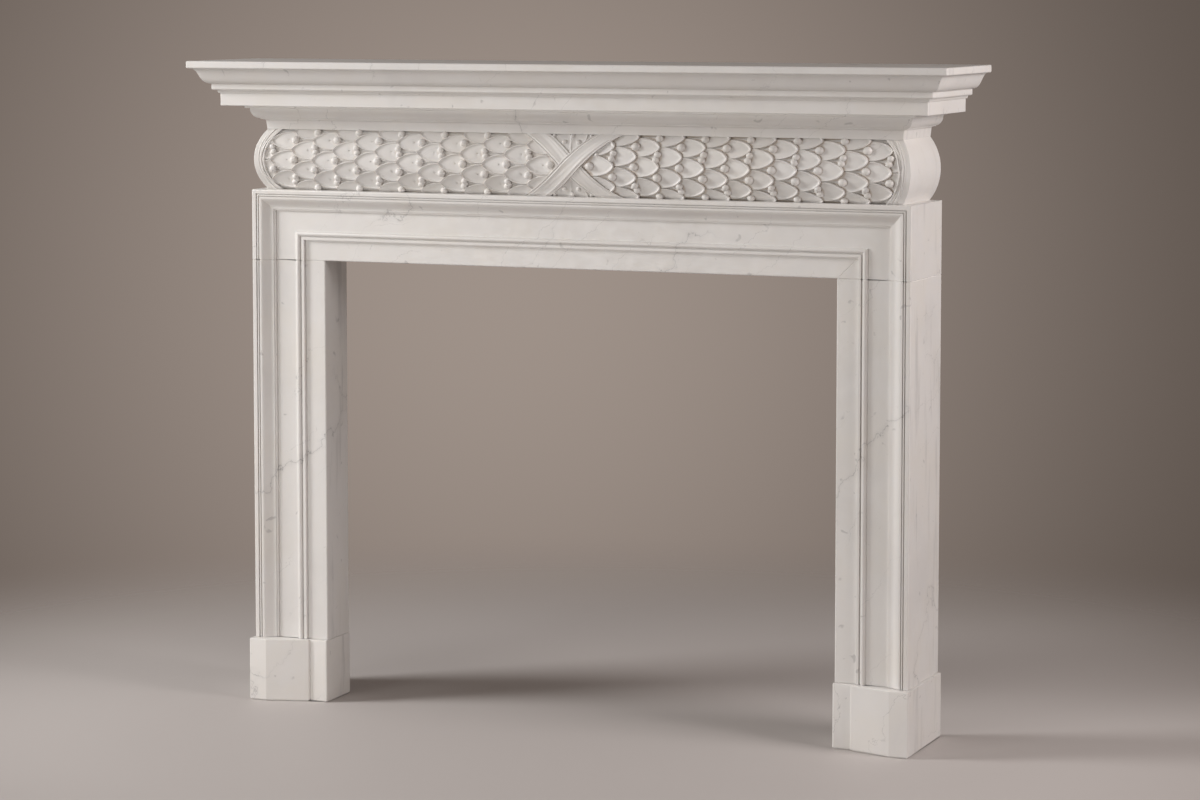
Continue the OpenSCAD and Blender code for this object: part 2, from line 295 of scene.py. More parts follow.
# Backdrop: warm grey, brightest straight behind the mantel as the camera sees it
world = bpy.data.worlds.new("studio")
scene.world = world
world.use_nodes = True
sky = Nodes(world.node_tree)
brightTurn = camera["turn"] + stage["backLean"]
ahead = (-math.sin(brightTurn) * math.cos(camera["tilt"]),
         math.cos(brightTurn) * math.cos(camera["tilt"]), -math.sin(camera["tilt"]))
direction = sky.add("ShaderNodeTexCoord").outputs["Generated"]
away = sky.math("ARCCOSINE", sky.vector("DOT_PRODUCT", direction, ahead))
pool = sky.ramp(away, 0.0, math.radians(stage["backSpread"]), 1.0, 0.0)
backColour = sky.mix(pool, stage["backEdge"], stage["backCentre"])
shade = sky.add("ShaderNodeBackground", {"Color": backColour})
sky.add("ShaderNodeOutputWorld", {"Surface": shade.outputs[0]})

# Floor: a pale disc that thins out into the backdrop
floorMesh = bpy.data.meshes.new("floor")
angles = np.linspace(0, 2 * math.pi, stage["floorSides"] + 1)[:-1]
rim = np.column_stack([np.cos(angles), np.sin(angles), 0 * angles]) * (stage["floorFade"][1] + 0.1)
floorMesh.from_pydata(rim.tolist(), [], [list(range(stage["floorSides"]))])
floorObject = bpy.data.objects.new("floor", floorMesh)
scene.collection.objects.link(floorObject)
floorMaterial = bpy.data.materials.new("paleFloor")
floorMaterial.use_nodes = True
tree = Nodes(floorMaterial.node_tree)
distance = tree.vector("LENGTH", tree.add("ShaderNodeTexCoord").outputs["Object"])
gone = tree.ramp(distance, *stage["floorFade"])
matt = tree.add("ShaderNodeBsdfPrincipled", {
    "Base Color": (*stage["floorColour"], 1), "Roughness": 0.6, "Specular IOR Level": 0.2})
clear = tree.add("ShaderNodeBsdfTransparent")
both = tree.add("ShaderNodeMixShader", {0: gone, 1: matt.outputs[0], 2: clear.outputs[0]})
tree.add("ShaderNodeOutputMaterial", {"Surface": both.outputs[0]})
floorMesh.materials.append(floorMaterial)
print("stage ready")

stone = {
    "white": (0.80, 0.785, 0.77),
    "cloud": (0.70, 0.685, 0.675),     # soft grey clouds
    "cream": (0.785, 0.755, 0.71),
    "vein": (0.33, 0.325, 0.325),
    # the next colour is painted shade, a warm darkening for the carved hollows
    "paintedShade": (0.46, 0.36, 0.27),        # warm shade of the carved hollows
    "roughness": (0.34, 0.46),
    "mainPlanes": ((3.1, 1.2, -2.1), 1.7),      # veins to a metre along x, y, z, and their warp
    "finePlanes": ((7.0, 3.0, -8.5), 3.4),
    "veinWidth": 0.0055,               # half width as a share of the spacing
    "haloWidth": 0.05,
    "veinDark": 0.62,
    "haloDark": 0.12,
    "faintDark": 0.38,
    # share of the painted shade mixed into the carved hollows
    "paintedShadeShare": 0.6,
    "tipShade": (0.4, 4.2),            # millimetres from a tip's outline over which the shade fades
    "streaks": 0.3,                    # strength of the upright streaks on the side faces
    "cloudShare": 0.55,
    "creamShare": 0.45,
    "fleckShare": 0.4,
}


# Painted shade just outside the three tips and three berries that lie over a leaf, from the point's
# own (a behind the leaf's tip, v across, strength of the shade). A tip is half an ellipse: with
# p = ((a - middle) / taper, (v - row) / width), its outline is about (|p| - 1) |p| / slope away
def hollowShade(tree, sizes):
    given = tree.add("ShaderNodeAttribute", attribute_name="leafPlace").outputs["Vector"]
    place = tree.vector("MULTIPLY", given, (1, 1, 0))
    strength = tree.add("ShaderNodeSeparateXYZ", {0: given}).outputs[2]
    pitch, row, taper = sizes["leafPitch"], sizes["leafRow"], sizes["leafTaper"]
    shrink = (1 / taper, 1 / row, 0)
    berryFade = (sizes["berry"] - 0.5, sizes["berry"] + 3.5)
    total = 0.0
    for ahead, v in ((pitch, 0), (pitch / 2, row), (pitch / 2, -row)):
        p = tree.vector("MULTIPLY", tree.vector("SUBTRACT", place, (ahead + taper, v, 0)), shrink)
        e, slope = tree.vector("LENGTH", p), tree.vector("LENGTH", tree.vector("MULTIPLY", p, shrink))
        away = tree.math("DIVIDE", tree.math("MULTIPLY", tree.math("SUBTRACT", e, 1.0), e), slope)
        total = tree.math("MAXIMUM", total, tree.ramp(away, *stone["tipShade"], 1.0, 0.0))
        apart = tree.vector("DISTANCE", place, (ahead - sizes["berryGap"], v, 0))
        total = tree.math("MAXIMUM", total, tree.ramp(apart, *berryFade, 0.8, 0.0))
    return tree.math("MULTIPLY", total, strength)


# Marble for one block: thin veins are warped parallel planes that rise to the right, kept only
# where a slow noise is high; slower noise makes clouds; the side faces get fine upright streaks;
# the block's own shift gives it its own figure; where carving gives the sizes of leaves, a painted
# warm shade darkens their hollows
def marble(name, shift, veins=1.0, carving=None):
    material = bpy.data.materials.new(name)
    material.use_nodes = True
    tree = Nodes(material.node_tree)
    coords = tree.add("ShaderNodeTexCoord").outputs
    at = tree.add("ShaderNodeMapping", {"Vector": coords["Object"], "Location": shift}).outputs[0]
    warp = tree.noise(at, 3.4, 7, 0.58)

    # 1 on thin planes: fraction of (place . normal + warp * amount) near one half
    def planes(normal, amount, width):
        along = tree.vector("DOT_PRODUCT", at, normal)
        phase = tree.math("FRACT", tree.math("MULTIPLY_ADD", warp, amount, along))
        away = tree.math("ABSOLUTE", tree.math("SUBTRACT", phase, 0.5))
        return tree.ramp(away, 0.0, width, 1.0, 0.0)

    where = tree.ramp(tree.noise(at, 2.7, 2), 0.44, 0.58)
    whereFaint = tree.ramp(tree.noise(at, 5.1, 2), 0.48, 0.60)
    strong = tree.math("MULTIPLY", planes(*stone["mainPlanes"], stone["veinWidth"]), where)
    halo = tree.math("MULTIPLY", planes(*stone["mainPlanes"], stone["haloWidth"]), where)
    faint = tree.math("MULTIPLY", planes(*stone["finePlanes"], 2 * stone["veinWidth"]), whereFaint)
    clouds = tree.ramp(tree.noise(at, 4.2, 5, 0.6, 0.6), 0.42, 0.74)
    fleck = tree.ramp(tree.noise(at, 42, 2, 0.5, 0.5), 0.69, 0.76, 0.0, stone["fleckShare"] * veins)
    cloudy = tree.math("MULTIPLY", clouds, stone["cloudShare"])
    colour = tree.mix(cloudy, stone["white"], stone["cloud"])
    warm = tree.ramp(tree.noise(at, 7.5, 4, 0.6), 0.42, 0.66)
    colour = tree.mix(tree.math("MULTIPLY", warm, stone["creamShare"]), colour, stone["cream"])
    for amount, share in ((strong, stone["veinDark"]), (halo, stone["haloDark"]),
                          (faint, stone["faintDark"])):
        colour = tree.mix(tree.math("MULTIPLY", amount, share * veins), colour, stone["vein"])
    colour = tree.mix(fleck, colour, stone["vein"])
    sideways = tree.add("ShaderNodeSeparateXYZ", {0: coords["Normal"]}).outputs[0]
    onSide = tree.ramp(tree.math("ABSOLUTE", sideways), 0.8, 0.95)
    wave = tree.add("ShaderNodeMapping", {"Vector": at, "Scale": (1, 34, 4.2)}).outputs[0]
    streak = tree.math("MULTIPLY", tree.ramp(tree.noise(wave, 1.0, 5, 0.6, 0.3), 0.54, 0.72), onSide)
    colour = tree.mix(tree.math("MULTIPLY", streak, stone["streaks"] * veins), colour, stone["vein"])
    if carving:
        # painted shade: darkens the colour just outside the leaf tips and round the berries
        paintedShadeAmount = tree.math("MULTIPLY", hollowShade(tree, carving), stone["paintedShadeShare"])
        colour = tree.mix(paintedShadeAmount, colour, stone["paintedShade"])
    rough = tree.ramp(tree.noise(at, 60, 3, 0.6), 0.3, 0.7, *stone["roughness"])
    bump = tree.add("ShaderNodeBump", {"Height": tree.noise(at, 220, 3), "Strength": 0.06,
                                       "Distance": 0.001})
    shader = tree.add("ShaderNodeBsdfPrincipled", {
        "Base Color": colour, "Roughness": rough, "Normal": bump.outputs[0],
        "Specular IOR Level": 0.42, "Subsurface Weight": 0.08, "Subsurface Scale": 0.004,
        "Subsurface Radius": (1.0, 0.85, 0.7)})
    tree.add("ShaderNodeOutputMaterial", {"Surface": shader.outputs[0]})
    return material


architrave = {
    "face": 150, "board": 116, "return": 45,           # jamb's face, board's back, return's width
    "arris": 2.5, "edge": 0.7,                         # rounding of the outer and of the small corners
    "band": 9, "quirk": 1.9, "quirkDepth": 4.2, "fineBead": 2.7, "fineLevel": 1.2, "fineRise": 0.7,
    "ogee": 25.5, "ogeeFall": 13, "step": 3.5, "stepDrop": 2.2,
    "outerFace": 43.5, "outerDepth": 19.5, "bead": 10.5, "beadGroove": 2, "beadStep": 6,
    "beadStepDepth": 16.5, "innerFace": 44, "innerDepth": 23,
    "joint": 1.1, "mitreGroove": 0.7,                  # eased edges, groove at the right mitre
}


# Closed outline [distance from the outer edge, depth behind the front]
def architraveOutline(a):
    ogeeStart = a["band"] + 2 * a["quirk"] + a["fineBead"]
    ogeeEnd = ogeeStart + a["ogee"]
    faceStart = ogeeEnd + a["step"]
    beadStart = faceStart + a["outerFace"]
    beadEnd = beadStart + a["bead"]
    innerStart = beadEnd + a["beadGroove"] + a["beadStep"]
    stepDepth = a["ogeeFall"] + a["stepDrop"]
    edge, wall = a["edge"], wallY - frontY
    return rounded(np.vstack([
        [[0, 0, a["arris"]], [a["band"], 0, edge], [a["band"], a["quirkDepth"], 0],
         [a["band"] + a["quirk"], a["quirkDepth"], 0]],
        halfRound(a["band"] + a["quirk"], ogeeStart - a["quirk"], a["fineLevel"], a["fineRise"], 7),
        [[ogeeStart - a["quirk"], a["quirkDepth"], 0], [ogeeStart, a["quirkDepth"], 0]],
        cubic((ogeeStart, 1), (ogeeStart + a["ogee"] * 0.35, -0.8),
              (ogeeEnd - a["ogee"] * 0.45, a["ogeeFall"]), (ogeeEnd, a["ogeeFall"])),
        [[ogeeEnd, stepDepth, 0], [faceStart, stepDepth, edge], [faceStart, a["outerDepth"], 0],
         [beadStart, a["outerDepth"], 0]],
        halfRound(beadStart, beadEnd, a["outerDepth"] - 0.2, a["bead"] / 2),
        [[beadEnd, a["outerDepth"], 0], [beadEnd + a["beadGroove"], a["outerDepth"], 0],
         [beadEnd + a["beadGroove"], a["beadStepDepth"], edge],
         [innerStart, a["beadStepDepth"], edge], [innerStart, a["innerDepth"], 0],
         [a["face"], a["innerDepth"], a["arris"]], [a["face"], a["board"], 1.5],
         [a["return"], a["board"], 0], [a["return"], wall, 1], [0, wall, 1]]]))


outline = architraveOutline(architrave)
easedOutline = inset(outline, architrave["joint"])


# Ring of an outline at height z, on the left (side -1) or the right (1), set back by sink and
# moved to the left by along; z may differ from point to point
def standing(shape, side, z, sink=0.0, along=0.0):
    return np.column_stack([side * (halfWidth - shape[:, 0]) - along, frontY + shape[:, 1] + sink,
                            z * np.ones(len(shape))])


# Jamb: the outline stands from z0 to z1, eased at both ends
def jamb(name, side, z0, z1, material):
    ease = architrave["joint"]
    levels = [(z0, easedOutline), (z0 + ease, outline), (z1 - ease, outline), (z1, easedOutline)]
    return ringPiece(name, np.array([standing(shape, side, z) for z, shape in levels]), material)


# Head: the outline climbs the left side, crosses and comes down the right side, turning at two
# mitres where z = top - w * (head height / face); a fine groove marks the right mitre
def head(material):
    ease, cut = architrave["joint"], architrave["mitreGroove"]
    mitre = headTop - outline[:, 0] * (headTop - openingTop) / architrave["face"]
    depth = outline[:, 1] - architrave["innerDepth"]
    onInnerFace = outline[:, 0] > architrave["face"] - architrave["innerFace"]
    groove = np.where(onInnerFace & (depth > -0.5) & (depth < 2), cut, 0.0)
    nearJoint = np.minimum(openingTop + ease, mitre)
    rings = np.array([
        standing(easedOutline, -1, openingTop), standing(outline, -1, nearJoint),
        standing(outline, -1, mitre), standing(outline, 1, mitre, along=cut),
        standing(outline, 1, mitre, sink=groove),
        standing(outline, 1, np.maximum(mitre - cut, nearJoint)),
        standing(outline, 1, nearJoint), standing(easedOutline, 1, openingTop)])
    return ringPiece("head", rings, material)


plinth = {
    "front": 15, "side": 6, "inner": 1.5,              # beyond the architrave on three sides
    "facet": 37, "slant": 83, "slantFall": 25, "slantStep": 5,
    "arris": 3, "slantArris": 2.5, "topEdge": 2.0,
    "foot": 2, "footInset": 3.4,                       # shadow gap above the floor
}


# Plinth block: a plan with a flat facet, a slant and a step, narrowed at the foot and rounded at
# the top, where it is drawn in by r - r cos u at top - r + r sin u
def plinthBlock(name, side, material):
    p, a = plinth, architrave
    slantStart = p["facet"] - p["side"]
    slantEnd = slantStart + p["slant"]
    innerFront, back = p["slantFall"] + p["slantStep"] - p["front"], wallY - frontY
    plan = rounded([
        [-p["side"], -p["front"], p["arris"]], [slantStart, -p["front"], 3],
        [slantEnd, p["slantFall"] - p["front"], p["slantArris"]], [slantEnd + 0.5, innerFront, 0],
        [a["face"] + p["inner"], innerFront, p["arris"]], [a["face"] + p["inner"], a["board"], 1.5],
        [a["return"], a["board"], 0], [a["return"], back, 1], [-p["side"], back, 1]])
    u = np.linspace(0, math.pi / 2, 5)
    r, foot = p["topEdge"], p["foot"]
    levels = [(0, p["footInset"]), (foot, p["footInset"]), (foot + 0.4, 0.6), (foot + 1.0, 0),
              *zip(plinthTop - r + r * np.sin(u), r - r * np.cos(u))]
    rings = np.array([standing(inset(plan, shrink), side, z) for z, shrink in levels])
    return ringPiece(name, rings, material)


# Projections beyond the architrave, and heights
bed = {
    "out": 9.5, "fillet": 5.5, "step": 7.6, "neck": 24, "arris": 1.3,
    "roundLow": 0.56, "roundRun": 15,                  # roundLow is a share of the whole height
}
shelf = {
    "out": 93, "edge": 14.3, "lip": 7.2, "ogee": 30.2, "ogeeRun": 28, "fillet": 12.5, "cove": 5.5,
    "dripBack": 13.8, "arris": 2.5, "filletArris": 4.5,
}


# Outline [projection, height] carried round the front and both sides: each level is a
# rectangle open to the wall whose two front corners are arcs of a small radius
def cornice(name, outline, material, corner=1.3):
    u = np.linspace(0, math.pi / 2, 5)
    turnX = np.concatenate([[1], np.sin(u[::-1]), [-0.3 / corner]])     # from the arc's centre
    turnY = np.concatenate([[-0.3 / corner], np.cos(u[::-1]), [1]])
    p, z = outline[:, :1], outline[:, 1:2]
    x = halfWidth + p - corner + corner * turnX[None]
    y = frontY - p + corner - corner * turnY[None]
    x, y = np.hstack([halfWidth + p, x]), np.hstack([wallY + 0 * p, y])
    right = np.stack([x, y, z + 0 * x], -1)
    left = right[:, ::-1] * [-1, 1, 1]
    return ringPiece(name, np.concatenate([right, left], 1), material)


# Outline of the bed mould: a fillet, a quarter round and a hollow that runs down to the neck
def bedOutline(b):
    roundOut, roundLow = b["out"] - b["step"], bedTop - (bedTop - friezeTop) * b["roundLow"]
    filletLow, back = bedTop - b["fillet"], roundOut - b["roundRun"]
    corners = np.vstack([
        [[b["out"] - 30, bedTop, 0], [b["out"], bedTop, 0.5], [b["out"], filletLow, b["arris"]],
         [roundOut, filletLow, 0]],
        cubic((roundOut, filletLow - 1.5), (roundOut - 1, roundLow + 8),
              (roundOut - b["roundRun"] / 2, roundLow + 1), (back, roundLow)),
        cubic((back, roundLow - 1), (back - 5, roundLow - 1.6),
              (back - 8, roundLow - 2.2), (back - 8.6, roundLow - 5)),
        [[-b["neck"] + 0.5, friezeTop, 0], [-b["neck"] - 20, friezeTop, 0]]])
    return rounded(corners)


# Outline of the shelf: edge, ogee, fillet, cove and drip face
def shelfOutline(s):
    edgeLow = shelfTop - s["edge"]
    ogeeOut = s["out"] - s["lip"]
    filletTop, filletOut = edgeLow - s["ogee"], ogeeOut - s["ogeeRun"]
    filletLow = filletTop - s["fillet"]
    coveLow, dripOut = filletLow - s["cove"], filletOut - s["dripBack"]
    corners = np.vstack([
        [[s["out"] - 60, shelfTop, 0], [s["out"], shelfTop, s["arris"]],
         [s["out"], edgeLow, s["arris"]]],
        cubic((ogeeOut, edgeLow), (ogeeOut - s["ogeeRun"] * 0.40, edgeLow - s["ogee"] * 0.12),
              (ogeeOut - s["ogeeRun"] * 0.39, filletTop + 0.5), (filletOut, filletTop)),
        [[filletOut - 1, filletTop - 0.4, 0], [filletOut - 1, filletLow, s["filletArris"]]],
        cubic((dripOut + 5, filletLow), (dripOut + 4.6, filletLow - 2),
              (dripOut + 4, coveLow + 2), (dripOut + 3, coveLow)),
        [[dripOut, coveLow, 0], [dripOut, bedTop, s["arris"] / 2], [dripOut - 40, bedTop, 0]]])
    return rounded(corners)


frieze = {
    "neck": 24, "swell": 21, "carve": 7,               # edge behind the front, swell, depth of carving
    "binding": 24, "bindingFlare": 10, "corner": 1.5,
    "strands": (                                       # place, sway, waves, phase, half width, rise
        (2.0, 0, 0, 0, 2.1, 2.2), (6.6, 1.3, 3.1, 0, 2.0, 1.7),
        (10.4, -1.5, 2.4, 0.4, 1.8, 1.9), (13.4, 1.1, 2.8, -math.pi / 2, 1.6, 1.3)),
    "leafPitch": 91.5, "leafRow": 19.8, "leafTaper": 43, "lastTip": 640,
    "tipLevel": 6.2, "fall": 0.8, "sink": 1.3,         # fall: share of the tip's level lost in a pitch
    "rim": 1.5, "dish": 1.8,
    "dot": (35.5, 2.6),                                # drilled dot of the left leaves: place, depth
    "widthSpread": 0.25, "sideSpread": 0.35, "lengthSpread": 0.5, "ripple": 0.16, "lean": 0.012,
    # shade: strength of the painted shade, weaker in the left half, whose leaf tips face the light
    "shade": (1.0, 0.45),                              # of the hollows in the right and left halves
    "berry": 7.9, "berryGap": 41, "berryTop": 57.4,
    "twin": 6.6, "twinLean": 1.4, "third": 4.4,        # radius of a paired berry, of one set third
    "motifBerries": ((14.5, 46, 5), (38, 60, 3.6)),    # across, round the face, radius; four of each
    "ribbon": (24, 28),                                # half widths at the crossing and at the ends
    "foot": -2.0,                                      # level at which carved shells end in the block
}
neckHalf = halfWidth - frieze["neck"]
swellRadius = ((friezeTop - headTop) ** 2 / 4 + frieze["swell"] ** 2) / (2 * frieze["swell"])
swellAngle = math.asin((friezeTop - headTop) / 2 / swellRadius)
arcHalf = swellRadius * swellAngle
friezeMiddle = (headTop + friezeTop) / 2
random = np.random.default_rng(11)


# Swell of the face beyond its edges at t, the distance round the face from its middle
def bulge(t):
    return swellRadius * (np.cos(t / swellRadius) - math.cos(swellAngle))


# Point on the frieze: x along the front, t round the face, level above the carved ground
def onFrieze(x, t, level):
    x, t, level = np.broadcast_arrays(x, t, level)
    return np.stack([x, frontY + frieze["neck"] - bulge(t) + frieze["carve"] - level,
                     friezeMiddle + swellRadius * np.sin(t / swellRadius)], -1)


# Width of a binding: least at the middle height, more by a square towards the edges
def bindingWidth(t):
    return frieze["binding"] + frieze["bindingFlare"] * (t / arcHalf) ** 2


# Where the leaves give way to the binding
def innerEdge(t):
    return neckHalf + bulge(t) - bindingWidth(t)


# Middle of the ribbon that rises to the right: x = t (1 + 0.17 (t / half)^2)
def ribbonX(t):
    return t * (1 + 0.17 * (t / arcHalf) ** 2)


# 1 at x = 0, falling off on both sides: exp(-(x / width)^2)
def bell(x, width):
    return np.exp(-(x / width) ** 2)


# 0 below low, 1 above high, q^2 (3 - 2 q) between
def smooth(x, low, high):
    q = np.clip((x - low) / (high - low), 0, 1)
    return q * q * (3 - 2 * q)


# The same points on the left half, in reverse order so that faces keep their sense
def mirror(points, axis):
    return np.flip(points, axis) * [-1, 1, 1]


# Block with both ribbed bindings: level slices from bottom to top. The binding's level at b from
# its inner edge is the highest of its round strands, each swaying as cos(waves t + phase)
def friezeBody():
    t = np.linspace(-arcHalf, arcHalf, 81)[:, None]
    b = np.concatenate([[0, 0, 0.25, 0.7], np.linspace(1.2, 17.6, 40)])[None]
    w = t / arcHalf
    level = 0.0
    for at, sway, waves, phase, width, rise in frieze["strands"]:
        across = (b - at - sway * np.cos(waves * w + phase)) / width
        level = np.maximum(level, rise * np.sqrt(np.maximum(1 - across ** 2, 0)))
    level = frieze["carve"] - 2.2 + level + 0.5 * np.clip((b - 14) / 3, 0, 1)
    level[:, 0] = -1
    level[:, 1] = frieze["carve"] - 2.6
    corner, r, band = neckHalf + bulge(t), frieze["corner"], frieze["carve"] - 1.4
    u = np.linspace(0, math.pi / 2, 5)[None]
    flare = bindingWidth(t) / frieze["binding"]
    x = np.hstack([0 * t, innerEdge(t) / 2, innerEdge(t) + b * flare, corner - 2 * r,
                   corner - r + r * np.sin(u)])
    level = np.hstack([0 * t - 1, 0 * t - 1, level, band + 0 * t, band - r + r * np.cos(u) + 0 * t])
    right = onFrieze(x, t, level)
    wall = np.stack([corner, wallY + 0 * t, right[:, :1, 2]], -1)
    right = np.concatenate([right, wall], 1)
    return stackRings(np.concatenate([right, mirror(right[:, 1:], 1)], 1))


# Level of a leaf's surface at a behind its tip: it falls evenly, and sinks where others cover it
def leafLevel(a):
    fallen = frieze["fall"] * a / frieze["leafPitch"]
    return frieze["tipLevel"] * (1 - fallen) - frieze["sink"] * smooth(a, 32, 70)


# Half width of a leaf at a behind its tip: half (1 - (1 - a / taper)^2)^0.6
def leafHalf(a, half):
    taper = frieze["leafTaper"]
    return half * (1 - (np.clip(taper - a, 0, taper) / taper) ** 2) ** 0.6


# Leaves end under the ribbon and under the binding
def clampLeaf(x, t):
    low, high = ribbonX(np.abs(t)) + 17, innerEdge(t) + 5
    x = np.where(x < low, low + (x - low) * 0.02, x)
    return np.where(x > high, high + (x - high) * 0.02, x)


leafRows = np.array([0.03, 0.2, 0.6, 1.2, 1.9, 2.8, 4, 5.6, 8, 11, 15, 19, 24, 29, 33.5, 35.5, 37.5,
                     42, 47, 52, 58, 65, 73, 84, 97])            # distances behind the tip
leafEdge = np.array([0, 0.4, 0.9, 1.5, 2.1, 2.8, 4.0, 6.4])      # distances in from the outline
leafInside = np.array([-0.45, -0.085, 0, 0.085, 0.45])           # shares of what is left between


# Leaves as shells. At a behind the tip and v across, with e the distance in from the outline:
# level = leafLevel(a) + rim * bell(e) - dish * smooth(e) - round-over, plus the carver's small
# unevenness; each leaf's outer rows are cut where the face ends
def leaves(tips, rows, mirrored):
    count, row = len(tips), rows[:, None, None]
    loose = random.normal(0, 1, (count, 6, 1, 1))
    tip = tips[:, None, None] + frieze["lengthSpread"] * loose[:, 5]
    a = leafRows[None, :, None]
    half = leafHalf(a, frieze["leafRow"] + frieze["widthSpread"] * loose[:, 0])
    shrink = np.minimum(1, half / 7.5)
    edge = leafEdge * shrink
    v = np.concatenate([-half + edge, leafInside * (half - leafEdge[-1] * shrink),
                        (half - edge)[..., ::-1]], 2)
    middle = row * frieze["leafRow"] + frieze["sideSpread"] * loose[:, 1]
    limit = arcHalf + 1.2
    low, high = np.maximum(-half, -limit - middle), np.minimum(half, limit - middle)
    v = low + (v + half) * (high - low) / (2 * half)
    t = middle + v
    slopeOut = (leafHalf(a + 0.2, frieze["leafRow"]) - leafHalf(a - 0.1, frieze["leafRow"])) / 0.3
    e = (half - np.abs(v)) / np.sqrt(1 + slopeOut ** 2)
    level = leafLevel(a) + 0.5 * np.exp(-a / 8)
    level = level + frieze["rim"] * bell(e - 1.45, 1.0) * (1 - smooth(a, 48, 62))
    level = level - frieze["dish"] * smooth(e, 1.8, 6.3) * (1 - smooth(a, 40, 75))
    level = level - 0.9 * np.clip(1 - e / 0.9, 0, 1) ** 2
    wave = np.sin(a / 11 + loose[:, 3]) * np.clip(e / 6, 0, 1)
    level = level + frieze["ripple"] * loose[:, 2] * wave + frieze["lean"] * loose[:, 4] * v
    if mirrored:
        level = level - frieze["dot"][1] * bell(a - frieze["dot"][0], 1.1) * bell(v, 1.0)
    top = onFrieze(clampLeaf(tip - a + 0 * v, t), t, level)
    sides = t[:, :, [0, -1]]
    foot = onFrieze(clampLeaf(tip - a + 0 * sides, sides), sides, frieze["foot"])
    # each point's a and v for the painted shade of the hollows, and that shade's strength
    place = np.stack([a + 0 * v, t - row * frieze["leafRow"], 0 * v + frieze["shade"][mirrored]], -1)
    if mirrored:
        top, foot, place = mirror(top, 2), mirror(foot, 2), place[:, :, ::-1]
    below = place[:, :, [0, -1]].reshape(count, -1, 3)
    places = np.concatenate([place.reshape(count, -1, 3), below], 1).reshape(-1, 3)
    return *shells(top, foot), places


# Berries: bodies turned about the stem's line. At angle u from the stem end the radius is
# r sin u, less a groove at 70 degrees, and the far end is drawn out a little
def berries(spots):
    u = np.linspace(0.16, math.pi - 0.12, 11)[:, None]
    w = np.linspace(0, 2 * math.pi, 14)[:-1][None]
    collar = 1 - 0.13 * bell(u - 1.22, 0.13) + 0.05 * bell(u - 0.85, 0.25)
    along = -np.cos(u) * (1 + 0.10 * np.clip(u - 2.0, 0, 2)) + 0 * w
    across, out = np.sin(u) * collar * np.cos(w), np.sin(u) * collar * np.sin(w)
    parts = []
    for x, t, level, r, turn, squash in spots:
        angle = t / swellRadius
        normal = np.array([0, -math.cos(angle), math.sin(angle)])
        upFace = np.array([0, math.sin(angle), math.cos(angle)])
        side = np.array([1.0, 0, 0])
        first = math.cos(turn) * side + math.sin(turn) * upFace
        second = -math.sin(turn) * side + math.cos(turn) * upFace
        parts.append(stackRings(onFrieze(x, t, level) + r * (
            along[..., None] * first + squash * across[..., None] * second + out[..., None] * normal)))
    return joined(parts)


# Stems: small ribs from just past a tip to the berry, on the leaf beneath: their height across is
# 0.35 + 0.65 cos^2(3 pi q), and it and the width grow with the distance d from the tip
def stems(tips, rows, mirrored):
    tip, middle = tips[:, None, None], rows[:, None, None] * frieze["leafRow"]
    d = np.linspace(2.5, frieze["berryGap"] - 4, 10)[None, :, None]
    q = np.linspace(-1, 1, 13)[None, None, :]
    grown = d / frieze["berryGap"]
    ribs = (0.35 + 0.65 * np.cos(3 * math.pi * q) ** 2) * np.sqrt(np.maximum(1 - q ** 4, 0))
    level = leafLevel(frieze["leafPitch"] - d) - 0.3 + (0.25 + 1.3 * grown) * ribs
    x, t = tip + d + 0 * q, middle + (0.5 + 3.0 * grown ** 1.2) * q
    top = onFrieze(x, t, level)
    foot = onFrieze(x[..., [0, -1]], t[..., [0, -1]], frieze["foot"])
    if mirrored:
        top, foot = mirror(top, 2), mirror(foot, 2)
    return shells(top, foot)


# Ribbon that rises to the right (side 1) or to the left (-1): across its middle line a rolled rim,
# a groove, a second ridge, a hollow band and a soft fold, each a bell; two creases drift over it
def ribbon(side, crossLevel, endLevel):
    t = np.linspace(-arcHalf - 1, arcHalf + 1, 70)[:, None]
    u = np.sin(np.linspace(-1, 1, 45) * math.pi / 2)[None]
    w, drift = np.abs(t) / arcHalf, t / arcHalf
    half = frieze["ribbon"][0] + (frieze["ribbon"][1] - frieze["ribbon"][0]) * w ** 2
    level = crossLevel + (endLevel - crossLevel) * w ** 1.5
    level = (level + 0.9 * bell(u + 0.92, 0.07) - 0.8 * bell(u + 0.79, 0.07)
             + 0.7 * bell(u + 0.62, 0.08) - 1.0 * bell(u, 0.42)
             + 0.9 * bell(u - 0.64, 0.13) - 0.5 * bell(u - 0.84, 0.08)
             - 1.5 * np.clip((np.abs(u) - 0.95) / 0.05, 0, 1) ** 2
             + 0.35 * bell(u - 0.1 - 0.35 * drift, 0.09) - 0.25 * bell(u + 0.2 - 0.3 * drift, 0.1))
    x = side * ribbonX(t) + half * u
    return shells(onFrieze(x, t, level)[None], onFrieze(x[:, [0, -1]], t, frieze["foot"])[None])


# A small leaf of the centre motif, from its base point towards its tip: at the share q of its
# length behind the tip it is half * sqrt(sin(pi q^0.7)) wide on each side, with a rim and a dish
def smallLeaf(base, tip, half, tipLevel, baseLevel):
    base, tip = np.array(base, float), np.array(tip, float)
    length = np.linalg.norm(tip - base)
    forward = (tip - base) / length
    a = np.linspace(0.01, 1, 16)[:, None] ** 1.5 * length
    q = np.sin(np.linspace(-1, 1, 17) * math.pi / 2)[None]
    width = half * np.sqrt(np.maximum(np.sin(math.pi * np.clip(a / length, 0, 0.97) ** 0.7), 0))
    v = width * q
    e = (1 - np.abs(q)) * width
    level = tipLevel + (baseLevel - tipLevel) * a / length + 0.6 * bell(e - 1.2, 0.9)
    level = level - 0.9 * np.clip(1 - e / 0.9, 0, 1) ** 2 - 0.9 * np.clip((e - 1.5) / 5, 0, 1)
    x = tip[0] - a * forward[0] - v * forward[1]
    t = tip[1] - a * forward[1] + v * forward[0]
    t = np.clip(t, -arcHalf - 1.5 + 0.01 * t, arcHalf + 1.5 + 0.01 * t)
    return shells(onFrieze(x, t, level)[None], onFrieze(x[:, [0, -1]], t[:, [0, -1]], -1.5)[None])


